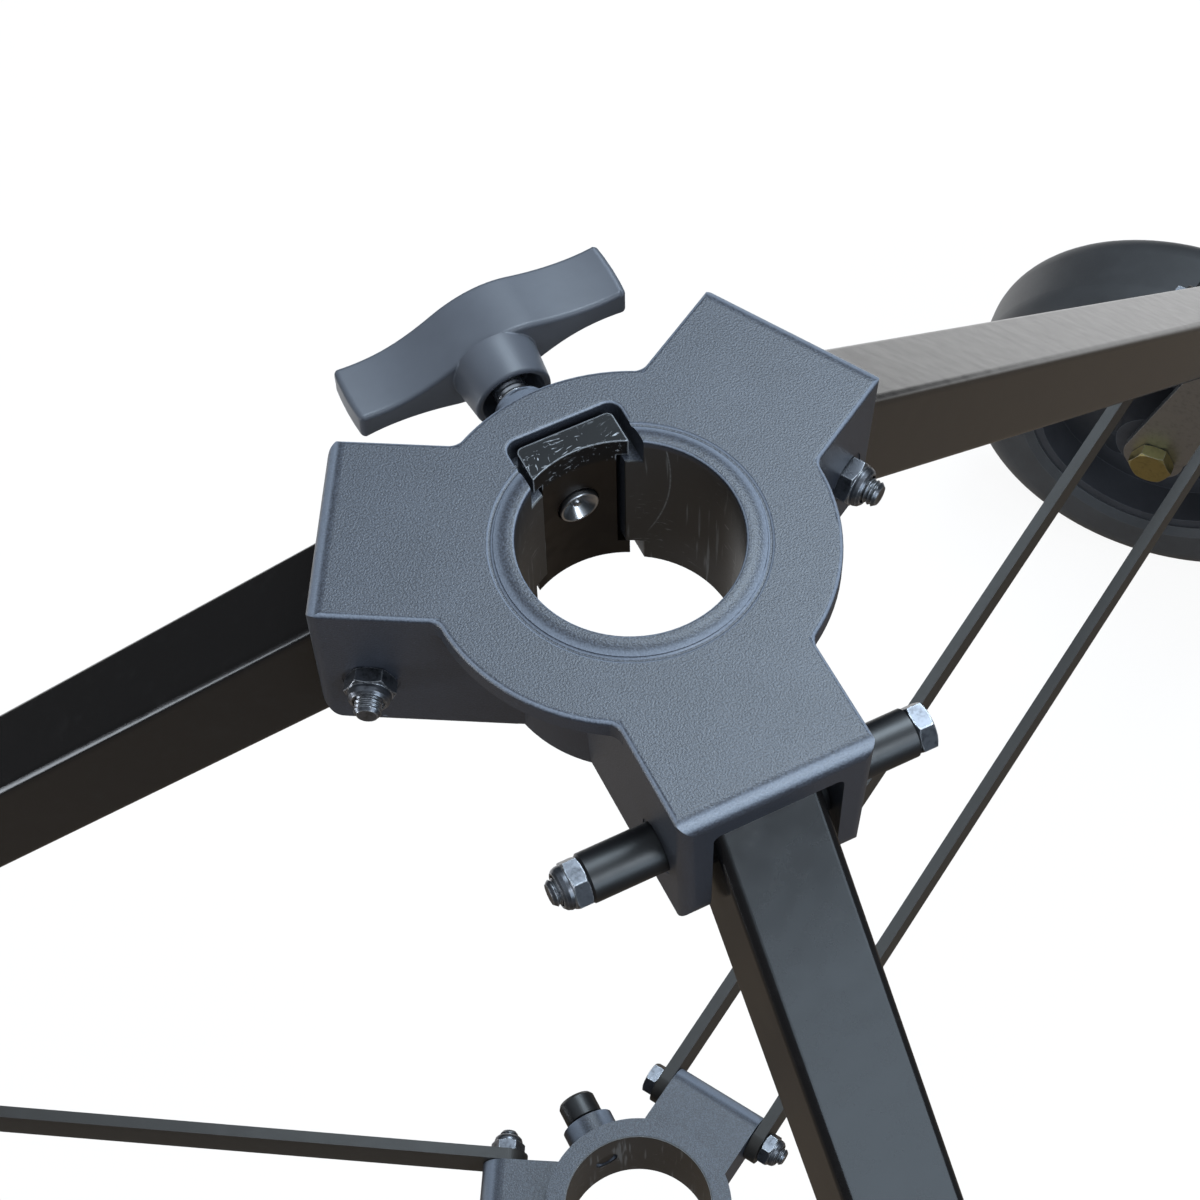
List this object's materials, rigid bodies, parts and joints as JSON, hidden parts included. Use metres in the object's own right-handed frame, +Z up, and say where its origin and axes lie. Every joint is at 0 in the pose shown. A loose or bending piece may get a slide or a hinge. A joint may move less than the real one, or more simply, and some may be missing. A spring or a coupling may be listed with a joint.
{
  "type": "steadicam stand base",
  "caption": "Folding wheeled base for a camera stand: cast mast collar with T-knob clamp, hinged square legs, flat braces to a sliding collar, and large swivel casters.",
  "frame": {"origin": "on the mast axis at the top face of the hub casting", "axes": "+Z up along the mast axis, -Y along the front leg, +Y along the clamp screw towards the T-knob, +X to the right of the front leg seen from the front"},
  "size_m": [1.1293, 1.0387, 0.7372],
  "materials": {
    "hub_paint": "fine textured dark grey powder coat",
    "black_gloss": "worn gloss black",
    "bright_steel": "plain machined steel",
    "knob_plastic": "matte moulded dark grey",
    "dark_zinc": "dark zinc plated",
    "sleeve_black": "satin black",
    "nylon": "black nylon",
    "leg_paint": "smooth semi-gloss black powder coat",
    "bronze": "sintered bronze",
    "bush_steel": "turned steel",
    "zinc": "bright zinc plated",
    "yellow_zinc": "yellow passivated zinc",
    "brace_paint": "satin dark grey powder coat",
    "tyre_rubber": "smooth black rubber",
    "rim_plastic": "dark grey moulded core",
    "bearing_steel": "ground steel"
  },
  "bodies": {
    "hub": {"hub_casting": "hub_paint", "short_pivot_bolts": "dark_zinc", "long_pivot_bolt": "dark_zinc", "pivot_nuts": "dark_zinc", "spacer_sleeves": "sleeve_black", "pivot_washers": "nylon"},
    "shoe": {"clamp_shoe": "black_gloss"},
    "knob": {"t_knob": "knob_plastic", "clamp_stud": "bright_steel"},
    "leg_front": {"leg_tube_front": "leg_paint", "pivot_bush_front": "bronze", "brace_bush_front": "bush_steel", "foot_plate_front": "leg_paint", "caster_plate_front": "zinc", "caster_bolts_front": "yellow_zinc", "king_bolt_front": "zinc"},
    "leg_right": {"leg_tube_right": "leg_paint", "pivot_bush_right": "bronze", "brace_bush_right": "bush_steel", "foot_plate_right": "leg_paint", "caster_plate_right": "zinc", "caster_bolts_right": "yellow_zinc", "king_bolt_right": "zinc"},
    "leg_left": {"leg_tube_left": "leg_paint", "pivot_bush_left": "bronze", "brace_bush_left": "bush_steel", "foot_plate_left": "leg_paint", "caster_plate_left": "zinc", "caster_bolts_left": "yellow_zinc", "king_bolt_left": "zinc"},
    "collar": {"lower_collar": "hub_paint", "collar_bolts": "dark_zinc", "collar_nuts": "dark_zinc", "collar_screw": "sleeve_black"},
    "brace_front": {"brace_bars_front": "brace_paint", "brace_screws_front": "dark_zinc"},
    "brace_right": {"brace_bars_right": "brace_paint", "brace_screws_right": "dark_zinc"},
    "brace_left": {"brace_bars_left": "brace_paint", "brace_screws_left": "dark_zinc"},
    "caster_fork_front": {"fork_front": "zinc", "axle_front": "yellow_zinc"},
    "caster_fork_right": {"fork_right": "zinc", "axle_right": "yellow_zinc"},
    "caster_fork_left": {"fork_left": "zinc", "axle_left": "yellow_zinc"},
    "wheel_front": {"tyre_front": "tyre_rubber", "rim_front": "rim_plastic", "wheel_bearings_front": "bearing_steel"},
    "wheel_right": {"tyre_right": "tyre_rubber", "rim_right": "rim_plastic", "wheel_bearings_right": "bearing_steel"},
    "wheel_left": {"tyre_left": "tyre_rubber", "rim_left": "rim_plastic", "wheel_bearings_left": "bearing_steel"}
  },
  "joints": [
    {"name": "shoe_slide", "type": "slide", "parent": "hub", "child": "shoe", "axis": [0, -1, 0], "range_m": [-0.0015, 0.003]},
    {"name": "knob_turn", "type": "hinge", "parent": "shoe", "child": "knob", "pos_m": [0, 0.0768, -0.021], "axis": [0, -1, 0], "range_deg": [-432, 864]},
    {"name": "leg_front_fold", "type": "hinge", "parent": "hub", "child": "leg_front", "pos_m": [0, -0.0545, -0.0265], "axis": [1, 0, 0], "range_deg": [0, 30]},
    {"name": "leg_right_fold", "type": "hinge", "parent": "hub", "child": "leg_right", "pos_m": [0.0472, 0.02725, -0.0265], "axis": [-0.5, 0.866, 0], "range_deg": [0, 30]},
    {"name": "leg_left_fold", "type": "hinge", "parent": "hub", "child": "leg_left", "pos_m": [-0.0472, 0.02725, -0.0265], "axis": [-0.5, -0.866, 0], "range_deg": [0, 30]},
    {"name": "collar_slide", "type": "slide", "parent": "hub", "child": "collar", "axis": [0, 0, -1], "range_m": [0, 0.4592]},
    {"name": "brace_front_swing", "type": "hinge", "parent": "collar", "child": "brace_front", "pos_m": [0, -0.046, -0.4156], "axis": [-1, 0, 0], "range_deg": [0, 62.25]},
    {"name": "brace_right_swing", "type": "hinge", "parent": "collar", "child": "brace_right", "pos_m": [0.03984, 0.023, -0.4156], "axis": [0.5, -0.866, 0], "range_deg": [0, 62.25]},
    {"name": "brace_left_swing", "type": "hinge", "parent": "collar", "child": "brace_left", "pos_m": [-0.03984, 0.023, -0.4156], "axis": [0.5, 0.866, 0], "range_deg": [0, 62.25]},
    {"name": "caster_front_swivel", "type": "hinge", "parent": "leg_front", "child": "caster_fork_front", "pos_m": [0, -0.5733, -0.51], "axis": [0, 0, 1], "continuous": true},
    {"name": "caster_right_swivel", "type": "hinge", "parent": "leg_right", "child": "caster_fork_right", "pos_m": [0.49649, 0.28665, -0.51], "axis": [0, 0, 1], "continuous": true},
    {"name": "caster_left_swivel", "type": "hinge", "parent": "leg_left", "child": "caster_fork_left", "pos_m": [-0.49649, 0.28665, -0.51], "axis": [0, 0, 1], "continuous": true},
    {"name": "wheel_front_roll", "type": "hinge", "parent": "caster_fork_front", "child": "wheel_front", "pos_m": [0.0516, -0.56364, -0.636], "axis": [-0.184, 0.9829, 0], "continuous": true},
    {"name": "wheel_right_roll", "type": "hinge", "parent": "caster_fork_right", "child": "wheel_right", "pos_m": [0.46233, 0.32651, -0.636], "axis": [-0.7593, -0.6508, 0], "continuous": true},
    {"name": "wheel_left_roll", "type": "hinge", "parent": "caster_fork_left", "child": "wheel_left", "pos_m": [-0.51393, 0.23713, -0.636], "axis": [0.9432, -0.3322, 0], "continuous": true}
  ],
  "couplings": [
    {"joint": "knob_turn", "follows": "shoe_slide", "rad_per_m": 5026.5},
    {"joint": "leg_right_fold", "follows": "leg_front_fold", "ratio": 1},
    {"joint": "leg_left_fold", "follows": "leg_front_fold", "ratio": 1},
    {"joint": "collar_slide", "follows": "leg_front_fold", "m_per_rad": 0.87678},
    {"joint": "brace_front_swing", "follows": "leg_front_fold", "ratio": 2.0747},
    {"joint": "brace_right_swing", "follows": "leg_front_fold", "ratio": 2.0747},
    {"joint": "brace_left_swing", "follows": "leg_front_fold", "ratio": 2.0747}
  ]
}
